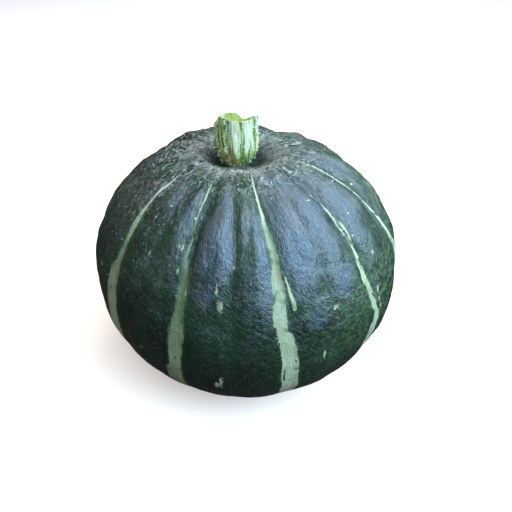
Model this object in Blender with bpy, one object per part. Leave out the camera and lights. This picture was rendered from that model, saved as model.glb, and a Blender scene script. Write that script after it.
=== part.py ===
"""Kabocha squash: a ribbed green fruit with its cut stem, in metres, +Z up.

The fruit stands on its blossom end at z = 0, centred on the origin. Each point of its rind has a lobe
coordinate, which counts the lobes round the fruit, and a latitude, which runs from the blossom end at
-90 degrees to the stem at +90 degrees. The stem is a separate solid that stands in the hollow on top.
"""

import math
import random

import bmesh
import bpy
from mathutils import Matrix, Vector, noise

# --- Fruit: overall size -------------------------------------------------------------------------
FRUIT_RADIUS = 0.090  # mean radius at the equator
SHOULDER_RISE = 0.797 * FRUIT_RADIUS  # equator to crown, before the stem hollow is pressed in
BASE_DROP = 0.812 * FRUIT_RADIUS  # equator to the lowest point, before the foot is flattened
EQUATOR_HEIGHT = 0.780 * FRUIT_RADIUS  # the foot is flattened at this distance under the equator
UPPER_TAPER = 1.006  # power of the cosine: how fast the upper half draws in
LOWER_TAPER = 0.914  # the lower half draws in later, so it is fuller
BASE_FULLNESS = 0.85  # power of the sine: under 1 makes the base blunt

# --- Fruit: hollows at the two ends --------------------------------------------------------------
STEM_HOLLOW_DEPTH = 0.120 * FRUIT_RADIUS
STEM_HOLLOW_WIDTH = 0.253 * FRUIT_RADIUS
SEAT_RADIUS = 0.118 * FRUIT_RADIUS  # flat disc that the stem stands on
SEAT_BLEND = 0.060 * FRUIT_RADIUS  # the disc runs into the hollow over this width
BLOSSOM_HOLLOW_DEPTH = 0.0060
BLOSSOM_HOLLOW_WIDTH = 0.0150
SCAR_RADIUS = 0.0050  # the button that the flower left
SCAR_HEIGHT = 0.0012

# --- Fruit: lobes and furrows --------------------------------------------------------------------
# The furrows between the lobes where they cross the equator, in degrees anticlockwise from +X.
FURROW_ANGLES = (22.0, 60.0, 98.0, 137.0, 177.0, 217.5, 249.9, 286.6, 319.3, 344.8)
# How far each furrow drifts round the fruit on its way up, in degrees per radian of latitude.
FURROW_DRIFTS = (-3.0, -1.0, 0.0, 1.0, 0.0, -0.7, 1.3, -3.7, -5.7, -5.3)
# How full each lobe is, and how deep the weaker furrow along its middle is.
LOBE_BULGES = (0.0003, 0.0016, 0.0026, 0.0004, 0.0010, 0.0014, 0.0016, 0.0018, 0.0012, 0.0008)
SIDE_FURROW_DEPTHS = (0.0010, 0.0008, 0.0012, 0.0008, 0.0009, 0.0008, 0.0022, 0.0010, 0.0007, 0.0009)
LOBES = len(FURROW_ANGLES)
STEPS_PER_LOBE = 10
RINGS = 40
POLE_CROWDING = 0.30  # above 0 draws the rings closer together towards both ends
FURROW_DEPTH = 0.0019
FURROW_HALF_WIDTH = 0.12  # in lobes
SIDE_FURROW_HALF_WIDTH = 0.09
FURROW_LATITUDE = 48.0  # where the furrows are deepest
FURROW_SPREAD = 30.0
FURROW_FLOOR = 0.24  # share of the depth that is left at the equator
SWELL_HEIGHT = 0.0008  # slow rise and fall of the whole rind
SWELL_LENGTH = 0.042

# --- Fruit: how it grew out of round -------------------------------------------------------------
SIDE_BULGE = 0.057  # share by which it reaches further out towards +X than the mean radius
OVAL = 0.015  # share by which it is wider along OVAL_ANGLE
OVAL_ANGLE = 127.0
STEM_OFFSET = Vector((0.0023, 0.0013))  # how far the stem end slid off the axis
BLOSSOM_OFFSET = Vector((0.0005, -0.0034))

# --- Stem ----------------------------------------------------------------------------------------
STEM_GAP = 0.0003  # between the stem's foot and its seat
STEM_HEIGHT = 0.0242  # at the middle of the cut
STEM_FOOT_RADIUS = 0.0092
STEM_BELLY_RADIUS = 0.0114
STEM_TOP_RADIUS = 0.0103
STEM_BELLY_AT = 0.58  # share of the height
STEM_LEAN = Vector((0.0001, 0.0))  # how far the top stands over from the foot
CUT_SLOPE = Vector((0.01, -0.21))  # rise of the cut along X and Y: it is higher towards -Y
CUT_HOLLOW = 0.0018  # how far the pith has sunk under the rim
# Where the rim rises or dips: angle and half width in degrees, then the height.
RIM_FEATURES = ((226.0, 20.0, 0.0026), (288.0, 14.0, -0.0006), (60.0, 27.0, -0.0024))
STEM_RIBS = 10
STEM_SIDES = 60
STEM_RINGS = 12
CUT_INSETS = (0.06, 0.14, 0.20)  # rings across the cut, as shares of the stem's radius
RIB_DEPTH = 0.00050
EAR_ANGLE = 356.0  # the torn flap of skin at the rim
EAR_HALF_WIDTH = 15.0
EAR_RISE = 0.0009
EAR_REACH = 0.0014
PRICKLES = 64
PRICKLE_RADIUS = 0.00050
PRICKLE_LENGTH = 0.0017
PRICKLE_ROOT = 0.0006  # how deep each prickle starts inside the stem
PRICKLE_TIP = 0.15  # share of the radius that is left at the tip
PRICKLE_SIDES = 5
PRICKLE_LIFT = 0.35  # how far each one leans up, against how far it stands out
PRICKLE_BAND = (0.10, 0.92)  # shares of the stem's height between which they grow
PRICKLE_STRAY = 0.14  # radians to either side of its rib
PRICKLE_SEED = 11

RIND_GREEN = (0.020, 0.040, 0.028, 1.0)
STEM_GREEN = (0.235, 0.355, 0.135, 1.0)


def clear_scene():
    for obj in list(bpy.data.objects):
        bpy.data.objects.remove(obj, do_unlink=True)


def smooth_step(value, low, high):
    share = min(1.0, max(0.0, (value - low) / (high - low)))
    return share * share * (3.0 - 2.0 * share)


def bell(distance, half_width):
    return math.exp(-((distance / half_width) ** 2))


def make_material(name, colour, roughness):
    material = bpy.data.materials.new(name)
    material.use_nodes = True
    shader = material.node_tree.nodes["Principled BSDF"]
    shader.inputs["Base Color"].default_value = colour
    shader.inputs["Roughness"].default_value = roughness
    shader.inputs["Metallic"].default_value = 0.0
    material.diffuse_color = colour
    return material


# --- Fruit ---------------------------------------------------------------------------------------


def lobe_angle(lobe, latitude):
    """Compass angle in radians of a lobe coordinate. Whole numbers are furrows."""
    index = math.floor(lobe)
    here = index % LOBES
    after = (index + 1) % LOBES
    start = FURROW_ANGLES[here] + FURROW_DRIFTS[here] * latitude
    end = FURROW_ANGLES[after] + FURROW_DRIFTS[after] * latitude
    return math.radians(start + (lobe - index) * ((end - start) % 360.0))


def profile(latitude):
    """(radius, height over the equator) of the fruit with no lobes."""
    cosine = max(0.0, math.cos(latitude))
    sine = abs(math.sin(latitude))
    if latitude >= 0.0:
        radius = FRUIT_RADIUS * cosine**UPPER_TAPER
        height = SHOULDER_RISE * sine - STEM_HOLLOW_DEPTH * bell(radius, STEM_HOLLOW_WIDTH)
        seat = SHOULDER_RISE - STEM_HOLLOW_DEPTH
        height = seat + (height - seat) * smooth_step(radius, SEAT_RADIUS, SEAT_RADIUS + SEAT_BLEND)
        return radius, height
    radius = FRUIT_RADIUS * cosine**LOWER_TAPER
    return radius, -BASE_DROP * sine**BASE_FULLNESS


def profile_normal(latitude):
    """Outward direction of the profile, as (radial, upward)."""
    step = math.radians(0.5)
    before = profile(max(-math.pi / 2, latitude - step))
    after = profile(min(math.pi / 2, latitude + step))
    outward = Vector((after[1] - before[1], before[0] - after[0]))
    return outward.normalized() if outward.length > 0.0 else Vector((0.0, math.copysign(1.0, latitude)))


def furrow_share(latitude, radius):
    """How much of their full depth the furrows have: most on the shoulders, none at the two ends."""
    degrees = math.degrees(latitude)
    share = FURROW_FLOOR + (1.0 - FURROW_FLOOR) * bell(degrees - FURROW_LATITUDE, FURROW_SPREAD)
    if latitude > 0.0:
        return share * smooth_step(radius, SEAT_RADIUS, SEAT_RADIUS + SEAT_BLEND)
    return share * smooth_step(radius, 0.1 * FRUIT_RADIUS, 0.7 * FRUIT_RADIUS)


def relief(lobe, latitude, radius):
    """Height of the lobes and furrows over the smooth profile."""
    here = math.floor(lobe) % LOBES
    to_furrow = abs(lobe - round(lobe))
    to_side_furrow = 0.5 - to_furrow
    height = LOBE_BULGES[here] * 0.5 * (1.0 - math.cos(2.0 * math.pi * lobe))
    height -= FURROW_DEPTH * bell(to_furrow, FURROW_HALF_WIDTH)
    height -= SIDE_FURROW_DEPTHS[here] * bell(to_side_furrow, SIDE_FURROW_HALF_WIDTH)
    return height * furrow_share(latitude, radius)


def rind_point(lobe, latitude):
    """Where a point of the rind lies, in the fruit's own frame, with the equator at z = 0."""
    radius, height = profile(latitude)
    radial, upward = profile_normal(latitude)
    angle = lobe_angle(lobe, latitude)
    outward = Vector((radial * math.cos(angle), radial * math.sin(angle), upward))
    reach = 1.0 + SIDE_BULGE * math.cos(angle)
    reach += OVAL * math.cos(2.0 * (angle - math.radians(OVAL_ANGLE)))
    point = Vector((radius * reach * math.cos(angle), radius * reach * math.sin(angle), height))
    point += outward * relief(lobe, latitude, radius)
    swell = SWELL_HEIGHT * noise.noise(point / SWELL_LENGTH)
    point += outward * swell * smooth_step(radius, SEAT_RADIUS, 3.0 * SEAT_RADIUS)
    return slide_ends(point)


def slide_ends(point):
    """Slides each level sideways, most at the two ends, as in a fruit that grew lying on its side."""
    level = point.z / BASE_DROP
    offset = STEM_OFFSET if level > 0.0 else BLOSSOM_OFFSET
    return point + (offset * level * level).to_3d()


def flatten_foot(point):
    """Lifts the point so that the foot is z = 0, cuts the foot flat and presses in the blossom hollow."""
    z = max(0.0, point.z + EQUATOR_HEIGHT)
    if point.z < 0.0:
        from_axis = (point.to_2d() - BLOSSOM_OFFSET).length
        z += BLOSSOM_HOLLOW_DEPTH * max(0.0, bell(from_axis, BLOSSOM_HOLLOW_WIDTH) - 0.2) / 0.8
        z -= SCAR_HEIGHT * (1.0 - smooth_step(from_axis, 0.6 * SCAR_RADIUS, SCAR_RADIUS))
    return Vector((point.x, point.y, z))


def make_fruit():
    """A UV sphere whose points are moved to the rind, column by column and ring by ring."""
    columns = LOBES * STEPS_PER_LOBE
    mesh = bmesh.new()
    bmesh.ops.create_uvsphere(mesh, u_segments=columns, v_segments=RINGS, radius=1.0)
    for vertex in mesh.verts:
        lobe = (math.atan2(vertex.co.y, vertex.co.x) / (2.0 * math.pi) % 1.0) * LOBES
        evenly = math.asin(max(-1.0, min(1.0, vertex.co.z))) / (math.pi / 2)
        latitude = (evenly * (1.0 + POLE_CROWDING) - POLE_CROWDING * evenly**3) * (math.pi / 2)
        lobe = round(lobe * STEPS_PER_LOBE) / STEPS_PER_LOBE
        vertex.co = flatten_foot(rind_point(lobe, latitude))
    bmesh.ops.recalc_face_normals(mesh, faces=mesh.faces)
    data = bpy.data.meshes.new("fruit")
    mesh.to_mesh(data)
    mesh.free()
    data.shade_smooth()
    data.materials.append(make_material("rind", RIND_GREEN, 0.42))
    return bpy.data.objects.new("fruit", data)


# --- Stem ----------------------------------------------------------------------------------------


def stem_radius(share):
    """Radius at a share of the height: narrow at the foot, fullest past the middle."""
    if share < STEM_BELLY_AT:
        swell = math.sin(0.5 * math.pi * share / STEM_BELLY_AT)
        return STEM_FOOT_RADIUS + (STEM_BELLY_RADIUS - STEM_FOOT_RADIUS) * swell
    fall = smooth_step(share, STEM_BELLY_AT, 1.0)
    return STEM_BELLY_RADIUS + (STEM_TOP_RADIUS - STEM_BELLY_RADIUS) * fall


def around(angle, centre, half_width):
    """Bell over the angle in radians, round a centre in degrees."""
    away = (math.degrees(angle) - centre + 180.0) % 360.0 - 180.0
    return bell(away, half_width)


def rim_height(angle):
    """How far the rim stands over the plane of the cut."""
    height = EAR_RISE * around(angle, EAR_ANGLE, EAR_HALF_WIDTH)
    for centre, half_width, rise in RIM_FEATURES:
        height += rise * around(angle, centre, half_width)
    return height


def stem_point(angle, share, inward=1.0):
    """A point of the stem over its seat. inward goes from 1 at the skin to 0 at the middle."""
    ribs = RIB_DEPTH * math.cos(STEM_RIBS * angle) * smooth_step(share, 0.0, 0.15)
    ear = around(angle, EAR_ANGLE, EAR_HALF_WIDTH) * smooth_step(share, 0.80, 1.0)
    radius = (stem_radius(share) + ribs + EAR_REACH * ear) * inward
    flat = Vector((radius * math.cos(angle), radius * math.sin(angle)))
    rise = STEM_HEIGHT + CUT_SLOPE.dot(flat) + rim_height(angle) * inward**4
    sunk = CUT_HOLLOW * (1.0 - smooth_step(inward, 0.55, 0.92)) if share == 1.0 else 0.0
    centre = STEM_LEAN * share * share
    return Vector((centre.x + flat.x, centre.y + flat.y, share * rise - sunk))


def top_cap(mesh):
    """The face in the middle of the top: of the highest faces, the one with the most corners."""
    return max(mesh.faces, key=lambda face: (round(face.calc_center_median().z, 3), len(face.verts)))


def make_stem_body():
    """A cylinder cut into rings, with its top inset in steps for the rim and the sunken pith."""
    mesh = bmesh.new()
    bmesh.ops.create_cone(
        mesh, cap_ends=True, segments=STEM_SIDES, radius1=1.0, radius2=1.0, depth=1.0
    )
    upright = [edge for edge in mesh.edges if abs(edge.verts[0].co.z - edge.verts[1].co.z) > 0.5]
    bmesh.ops.subdivide_edges(mesh, edges=upright, cuts=STEM_RINGS - 1)
    for inset in CUT_INSETS:
        bmesh.ops.inset_region(mesh, faces=[top_cap(mesh)], thickness=inset, use_even_offset=True)
    bmesh.ops.poke(mesh, faces=[top_cap(mesh)])
    for vertex in mesh.verts:
        angle = math.atan2(vertex.co.y, vertex.co.x)
        share = round((vertex.co.z + 0.5) * STEM_RINGS) / STEM_RINGS
        vertex.co = stem_point(angle, share, min(1.0, vertex.co.to_2d().length))
    bmesh.ops.recalc_face_normals(mesh, faces=mesh.faces)
    data = bpy.data.meshes.new("stem")
    mesh.to_mesh(data)
    mesh.free()
    return bpy.data.objects.new("stem", data)


def make_prickle(angle, share, name):
    """One short cone that stands out of the skin and points a little upwards."""
    here = stem_point(angle, share)
    outward = Vector((math.cos(angle), math.sin(angle), PRICKLE_LIFT)).normalized()
    mesh = bmesh.new()
    bmesh.ops.create_cone(
        mesh,
        cap_ends=True,
        segments=PRICKLE_SIDES,
        radius1=PRICKLE_RADIUS,
        radius2=PRICKLE_TIP * PRICKLE_RADIUS,
        depth=PRICKLE_LENGTH + PRICKLE_ROOT,
    )
    middle = here + outward * 0.5 * (PRICKLE_LENGTH - PRICKLE_ROOT)
    place = Matrix.Translation(middle) @ outward.to_track_quat("Z", "X").to_matrix().to_4x4()
    bmesh.ops.transform(mesh, matrix=place, verts=mesh.verts)
    data = bpy.data.meshes.new(name)
    mesh.to_mesh(data)
    mesh.free()
    return bpy.data.objects.new(name, data)


def add_prickles(stem):
    """Scatters the prickles evenly over the ribs and joins them to the stem in one union."""
    draw = random.Random(PRICKLE_SEED)
    prickles = bpy.data.collections.new("prickles")
    bpy.context.scene.collection.children.link(prickles)
    golden = math.pi * (3.0 - math.sqrt(5.0))
    low, high = PRICKLE_BAND
    for index in range(PRICKLES):
        share = low + (high - low) * (index + 0.5) / PRICKLES
        rib = round(index * golden * STEM_RIBS / (2.0 * math.pi)) * 2.0 * math.pi / STEM_RIBS
        angle = rib + draw.uniform(-PRICKLE_STRAY, PRICKLE_STRAY)
        prickles.objects.link(make_prickle(angle, share, f"prickle_{index:02d}"))
    union = stem.modifiers.new("prickles", "BOOLEAN")
    union.operation = "UNION"
    union.operand_type = "COLLECTION"
    union.collection = prickles
    union.solver = "EXACT"
    bpy.context.view_layer.update()
    joined = bpy.data.meshes.new_from_object(stem.evaluated_get(bpy.context.evaluated_depsgraph_get()))
    stem.modifiers.clear()
    stem.data = joined
    for prickle in list(prickles.objects):
        bpy.data.objects.remove(prickle, do_unlink=True)
    bpy.data.collections.remove(prickles)


def make_stem(collection):
    stem = make_stem_body()
    collection.objects.link(stem)
    add_prickles(stem)
    stem.data.shade_smooth()
    stem.data.set_sharp_from_angle(angle=math.radians(50.0))
    stem.data.materials.clear()
    stem.data.materials.append(make_material("stem", STEM_GREEN, 0.50))
    level = SHOULDER_RISE - STEM_HOLLOW_DEPTH
    foot = slide_ends(Vector((0.0, 0.0, level)))
    stem.location = (foot.x, foot.y, level + EQUATOR_HEIGHT + STEM_GAP)
    return stem


def centre_over_origin(fruit, stem):
    """Moves both pieces sideways so that the origin is under the middle of the fruit's outline."""
    for axis in (0, 1):
        places = [vertex.co[axis] for vertex in fruit.data.vertices]
        middle = 0.5 * (min(places) + max(places))
        for obj in (fruit, stem):
            obj.location[axis] -= middle


def main():
    clear_scene()
    squash = bpy.data.collections.new("kabocha_squash")
    bpy.context.scene.collection.children.link(squash)
    fruit = make_fruit()
    squash.objects.link(fruit)
    stem = make_stem(squash)
    centre_over_origin(fruit, stem)


main()
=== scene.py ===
# %% [markdown]
# # A kabocha squash, from frame to finished fruit
#
# A kabocha is a squat winter squash. Its rind is hard, very dark green and finely wrinkled, with pale
# stripes that run from the stem to the blossom end. This lesson takes two plain solids, a fruit and a
# stem, and dresses them: a fine rind with furrows and lumps, a striped finish, a ribbed stalk with a
# cut top, and hairs. Everything is in metres, with +Z up and the ground at z = 0.

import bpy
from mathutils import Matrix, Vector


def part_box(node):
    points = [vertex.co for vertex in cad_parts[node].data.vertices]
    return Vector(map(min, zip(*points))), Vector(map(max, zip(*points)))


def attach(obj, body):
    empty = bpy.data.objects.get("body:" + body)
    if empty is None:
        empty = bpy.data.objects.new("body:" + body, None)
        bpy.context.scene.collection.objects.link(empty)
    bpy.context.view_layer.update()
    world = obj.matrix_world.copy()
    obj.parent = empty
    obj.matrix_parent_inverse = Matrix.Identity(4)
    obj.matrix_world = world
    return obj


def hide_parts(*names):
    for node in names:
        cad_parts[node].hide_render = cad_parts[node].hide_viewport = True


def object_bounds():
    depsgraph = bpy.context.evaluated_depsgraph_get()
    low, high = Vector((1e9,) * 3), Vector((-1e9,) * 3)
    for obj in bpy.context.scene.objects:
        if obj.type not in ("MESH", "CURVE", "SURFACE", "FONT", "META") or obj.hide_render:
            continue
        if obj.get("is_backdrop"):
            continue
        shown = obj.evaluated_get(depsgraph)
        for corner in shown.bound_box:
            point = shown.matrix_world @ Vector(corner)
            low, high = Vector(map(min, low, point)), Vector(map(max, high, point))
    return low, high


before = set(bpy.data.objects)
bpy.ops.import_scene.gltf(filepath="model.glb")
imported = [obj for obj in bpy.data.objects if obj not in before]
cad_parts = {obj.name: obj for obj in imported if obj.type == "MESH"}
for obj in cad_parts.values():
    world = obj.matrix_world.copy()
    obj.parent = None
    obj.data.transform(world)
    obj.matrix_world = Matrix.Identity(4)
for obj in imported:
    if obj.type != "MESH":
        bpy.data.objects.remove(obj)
cad_low, cad_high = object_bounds()
print("plain solids:", sorted(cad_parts), "from", cad_low[:], "to", cad_high[:])

# %% The tools this lesson uses
import math
import random

import bmesh
import bpy
import numpy as np
from mathutils import Matrix, Vector, noise

MM = 0.001

# %% [markdown]
# ## Small helpers for shaping
#
# A squash has hardly a straight line on it, so its shape is written as soft steps and bells over the
# latitude and over the way round. Two small functions give those. They take single numbers or whole
# numpy arrays, so the same words shape one point or a hundred thousand.


# %% Soft steps and bells
def soft_step(value, low, high):
    share = np.clip((value - low) / (high - low), 0.0, 1.0)
    return share * share * (3.0 - 2.0 * share)


def bell(distance, half_width):
    return np.exp(-((distance / half_width) ** 2))


def away_from(angle, centre):
    """Signed difference of two compass angles in degrees, from -180 to 180."""
    return (angle - centre + 180.0) % 360.0 - 180.0


print("a bell at its half width is", round(float(bell(1.0, 1.0)), 3))

# %% [markdown]
# ## The fruit's measurements
#
# The fruit is a squashed ball with two hollows. Its profile is a cosine that draws in towards both
# ends, and each point is known by its *lobe* (how many lobes round) and its *latitude*. The plain solid
# was made from nearly the same values, so the fine rind follows it closely.

# %% Overall form of the fruit
RADIUS = 0.090
SHOULDER_RISE = 0.797 * RADIUS
BASE_DROP = 0.812 * RADIUS
EQUATOR_HEIGHT = 0.780 * RADIUS
UPPER_TAPER, LOWER_TAPER = 1.006, 0.914
BASE_FULLNESS = 0.85
HOLLOW_DEPTH, HOLLOW_WIDTH = 0.120 * RADIUS, 0.253 * RADIUS
SEAT_RADIUS, SEAT_BLEND = 0.118 * RADIUS, 0.060 * RADIUS
SEAT_LEVEL = SHOULDER_RISE - HOLLOW_DEPTH
SIDE_BULGE = 0.057
OVAL, OVAL_ANGLE = 0.015, 127.0
STEM_OFFSET = np.array((0.0023, 0.0013))
BLOSSOM_OFFSET = np.array((0.0005, -0.0034))

# %% Lobes and furrows
FURROW_ANGLES = np.array((22.0, 60.0, 98.0, 137.0, 177.0, 217.5, 249.9, 286.6, 319.3, 344.8))
FURROW_DRIFTS = np.array((-3.0, -1.0, 0.0, 1.0, 0.0, -0.7, 1.3, -3.7, -5.7, -5.3))
LOBE_BULGES = MM * np.array((0.3, 1.6, 2.6, 0.4, 1.0, 1.4, 1.6, 1.8, 1.2, 0.8))
SIDE_FURROWS = MM * np.array((1.0, 0.8, 1.2, 0.8, 0.9, 0.8, 1.9, 1.0, 0.7, 0.9))
LOBES = len(FURROW_ANGLES)
FURROW_DEPTH, FURROW_HALF_WIDTH = 0.0019, 0.12
SIDE_FURROW_HALF_WIDTH = 0.09
FURROW_LATITUDE, FURROW_SPREAD, FURROW_FLOOR = 48.0, 30.0, 0.24
print(LOBES, "lobes, the widest", round(float(np.diff(FURROW_ANGLES).max()), 1), "degrees")

# %% [markdown]
# ## The smooth profile
#
# Latitude runs from -90 degrees at the blossom scar to +90 at the stem. The upper half ends in a hollow
# with a small flat seat for the stem, and the lower half is blunter.


# %% Profile and its outward direction
def profile(latitude):
    """Radius and height over the equator, for an array of latitudes in radians."""
    cosine = np.maximum(0.0, np.cos(latitude))
    sine = np.abs(np.sin(latitude))
    upper_radius = RADIUS * cosine**UPPER_TAPER
    upper = SHOULDER_RISE * sine - HOLLOW_DEPTH * bell(upper_radius, HOLLOW_WIDTH)
    off_seat = soft_step(upper_radius, SEAT_RADIUS, SEAT_RADIUS + SEAT_BLEND)
    upper = SEAT_LEVEL + (upper - SEAT_LEVEL) * off_seat
    lower = -BASE_DROP * sine**BASE_FULLNESS
    top_half = latitude >= 0.0
    radius = np.where(top_half, upper_radius, RADIUS * cosine**LOWER_TAPER)
    return radius, np.where(top_half, upper, lower)


def profile_normal(latitude):
    """Outward direction as (radial, upward) arrays."""
    step = math.radians(0.5)
    before_radius, before_height = profile(np.maximum(-math.pi / 2, latitude - step))
    after_radius, after_height = profile(np.minimum(math.pi / 2, latitude + step))
    radial = after_height - before_height
    upward = before_radius - after_radius
    length = np.maximum(1e-9, np.hypot(radial, upward))
    return radial / length, upward / length


# %% [markdown]
# ## Lobes, furrows and wrinkles
#
# The ten lobes bulge a little, with a furrow between neighbours and a weaker one down each lobe. On the
# real fruit a furrow isn't only a soft valley: its floor is a narrow crease. Creases are cut into the
# mesh, not only into the finish, since they catch the light.

# %% Relief over the profile
CREASE_DEPTH, CREASE_HALF_WIDTH, CREASE_WANDER = 0.0009, 0.030, 0.035
SIDE_CREASES = MM * np.array((0.2, 0.1, 0.2, 0.1, 0.2, 0.1, 0.1, 0.3, 0.1, 0.2))
LOST_LOW_DOWN = 0.45


def lobe_angle(lobe, latitude):
    """Compass angle in degrees of a lobe coordinate. Whole numbers are furrows."""
    index = np.floor(lobe).astype(int)
    here, after = index % LOBES, (index + 1) % LOBES
    start = FURROW_ANGLES[here] + FURROW_DRIFTS[here] * latitude
    end = FURROW_ANGLES[after] + FURROW_DRIFTS[after] * latitude
    return (start + (lobe - index) * ((end - start) % 360.0)) % 360.0


def furrow_share(latitude, radius):
    deepest = bell(np.degrees(latitude) - FURROW_LATITUDE, FURROW_SPREAD)
    share = FURROW_FLOOR + (1.0 - FURROW_FLOOR) * deepest
    near_stem = soft_step(radius, 0.016, 0.040)
    near_blossom = soft_step(radius, 0.1 * RADIUS, 0.7 * RADIUS)
    return share * np.where(latitude > 0.0, near_stem, near_blossom)


def relief(lobe, latitude, radius, sway):
    """Height of lobes, furrows and creases. sway wanders from -1 to 1 and keeps them uneven."""
    here = np.floor(lobe).astype(int) % LOBES
    wander = lobe + CREASE_WANDER * sway
    to_furrow = np.abs(lobe - np.round(lobe))
    to_crease = np.abs(wander - np.round(wander))
    height = LOBE_BULGES[here] * 0.5 * (1.0 - np.cos(2.0 * math.pi * lobe))
    height -= FURROW_DEPTH * bell(to_furrow, FURROW_HALF_WIDTH)
    height -= SIDE_FURROWS[here] * bell(0.5 - to_furrow, SIDE_FURROW_HALF_WIDTH)
    height -= CREASE_DEPTH * bell(to_crease, CREASE_HALF_WIDTH)
    height -= SIDE_CREASES[here] * bell(0.5 - to_crease, CREASE_HALF_WIDTH)
    low = 1.0 - LOST_LOW_DOWN * soft_step(-np.degrees(latitude), 8.0, 35.0)
    return height * low * furrow_share(latitude, radius)


print("creases up to", round(CREASE_DEPTH / MM, 1), "mm deep")

# %% [markdown]
# ## A ball becomes the fruit
#
# Blender's UV sphere already has its points in columns and rings, with a pole at each end, which is
# just what a fruit needs. So the rind starts as a fine UV sphere, and each point is moved to where its
# lobe and latitude put it. Rings are crowded towards the poles, where the hollows are.

# %% Make the ball and read its points
COLUMNS, RINGS_OF_RIND = 480, 204
POLE_CROWDING = 0.30


def mesh_data(shape, name):
    """Turns a bmesh into mesh data for an object."""
    data = bpy.data.meshes.new(name)
    shape.to_mesh(data)
    shape.free()
    return data


ball_shape = bmesh.new()
bmesh.ops.create_uvsphere(ball_shape, u_segments=COLUMNS, v_segments=RINGS_OF_RIND, radius=1.0)
rind_data = mesh_data(ball_shape, "rind")
ball = np.empty(3 * len(rind_data.vertices))
rind_data.vertices.foreach_get("co", ball)
ball = ball.reshape(-1, 3)
lobe = (np.arctan2(ball[:, 1], ball[:, 0]) / (2.0 * math.pi) % 1.0) * LOBES
evenly = np.arcsin(np.clip(ball[:, 2], -1.0, 1.0)) / (math.pi / 2)
latitude = (evenly * (1.0 + POLE_CROWDING) - POLE_CROWDING * evenly**3) * (math.pi / 2)
degrees = np.degrees(latitude)
print("the rind has", len(ball), "points")


# %% Noise that is the same on every run
def wander_over(points, length, seed):
    """Perlin noise from about -1 to 1 for each point, with bumps of about that length."""
    shift = Vector((seed * 3.7, seed * 1.9, seed * 2.3))
    return np.array([noise.noise(Vector(point) / length + shift) for point in points.tolist()])


# %% Move every point to the rind
radius, height = profile(latitude)
radial, upward = profile_normal(latitude)
compass = lobe_angle(lobe, latitude)
angle = np.radians(compass)
reach = 1.0 + SIDE_BULGE * np.cos(angle) + OVAL * np.cos(2.0 * (angle - math.radians(OVAL_ANGLE)))
rind_points = np.column_stack((radius * reach * np.cos(angle), radius * reach * np.sin(angle), height))
outward = np.column_stack((radial * np.cos(angle), radial * np.sin(angle), upward))
sway = wander_over(rind_points, 0.030, 5)
rind_points = rind_points + outward * relief(lobe, latitude, radius, sway)[:, None]
print("half of the greatest width in mm:", round(float((radius * reach).max() / MM), 1))

# %% [markdown]
# ## Pleats, lip and moat
#
# Near the stem the skin is gathered into pleats, like cloth drawn together, and they reach further down
# on the dusty side. Noise that is read on a ring runs in rays, so its ridges become pleats. The crown
# ends in a low lip, and inside it the skin dips into a moat round the stem, which is hardly there in front.

# %% Pleats round the stem
PLEAT_DEPTH, PLEATS_PER_TURN, PLEAT_RISE = 0.0011, 52, 0.15
DUSTY_ANGLE, DUSTY_HALF_WIDTH = 172.0, 52.0
dusty_side = bell(away_from(compass, DUSTY_ANGLE), DUSTY_HALF_WIDTH)
gathered = soft_step(degrees + 16.0 * dusty_side, 30.0, 62.0) * (1.0 + 0.7 * dusty_side)
gathered *= soft_step(radius, SEAT_RADIUS, 0.028)
round_about = np.column_stack((np.cos(angle), np.sin(angle), 0.35 * latitude + 0.02 * sway))
pleats = PLEAT_RISE - np.abs(wander_over(round_about, 2.0 * math.pi / PLEATS_PER_TURN, 29))
rind_points += outward * (PLEAT_DEPTH * gathered * pleats)[:, None]
print("deepest pleat in mm:", round(float(-PLEAT_DEPTH * (gathered * pleats).min() / MM), 2))

# %% Lip and moat
LIP_RADIUS, LIP_HEIGHT, LIP_HALF_WIDTH = 0.0255, 0.0007, 0.0030
MOAT_RADIUS, MOAT_DEPTH, MOAT_HALF_WIDTH = 0.0165, 0.0019, 0.0050
FRONT_ANGLE, FRONT_HALF_WIDTH = 275.0, 40.0
lip = LIP_HEIGHT * bell(radius - LIP_RADIUS * (1.0 + 0.06 * sway), LIP_HALF_WIDTH)
moat = MOAT_DEPTH * bell(radius - MOAT_RADIUS, MOAT_HALF_WIDTH) * soft_step(radius, 0.0085, 0.0125)
moat *= 1.0 - 0.9 * bell(away_from(compass, FRONT_ANGLE), FRONT_HALF_WIDTH)
rind_points[:, 2] += np.where(latitude > 0.0, lip - moat, 0.0)
print("moat up to", round(MOAT_DEPTH / MM, 1), "mm deep")

# %% [markdown]
# ## Single folds
#
# Over the pleats lie larger folds, no two alike, so each one is named by its place. They swing a little
# with the noise, and their depth is kept, because the finish paints shade into their floors.

# %% Cut the folds
# Compass angle, latitude and half length in degrees, half width and depth in mm.
FOLD_STRENGTH, FOLD_SWAY = 1.25, 4.0
FOLDS = (
    (299.5, 34, 13, 1.8, 0.5), (295, 53, 9, 1.6, 0.3), (288.2, 58, 9, 2.4, 0.3),
    (252.2, 54, 11, 2.2, 0.6), (270, 60, 10, 3, 0.6), (230, 42, 11, 2.2, 0.6), (222, 60, 11, 2.2, 1),
    (240, 64, 9, 2, 0.8), (277.5, 63, 9, 1.8, 0.3), (140, 68, 15, 2.6, 1.3), (155, 62, 12, 2.2, 1.1),
    (171, 60, 17, 2.2, 1.3), (188, 64, 13, 2, 1.1), (205, 58, 12, 2, 1), (32, 68, 15, 2.4, 1.3),
    (50, 72, 11, 2, 0.9), (12, 66, 12, 2.2, 1), (356, 62, 13, 2.2, 1.1), (330, 63, 12, 2, 0.8),
    (312, 64, 7, 1.8, 0.3), (80, 64, 12, 2.2, 0.9), (115, 60, 13, 2, 0.8), (67, 40, 14, 2.4, 0.6),
    (127, 32, 14, 2.4, 0.6), (269.5, 44, 14, 3.4, 0.3),
)
fold_depth = np.zeros(len(radius))
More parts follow.
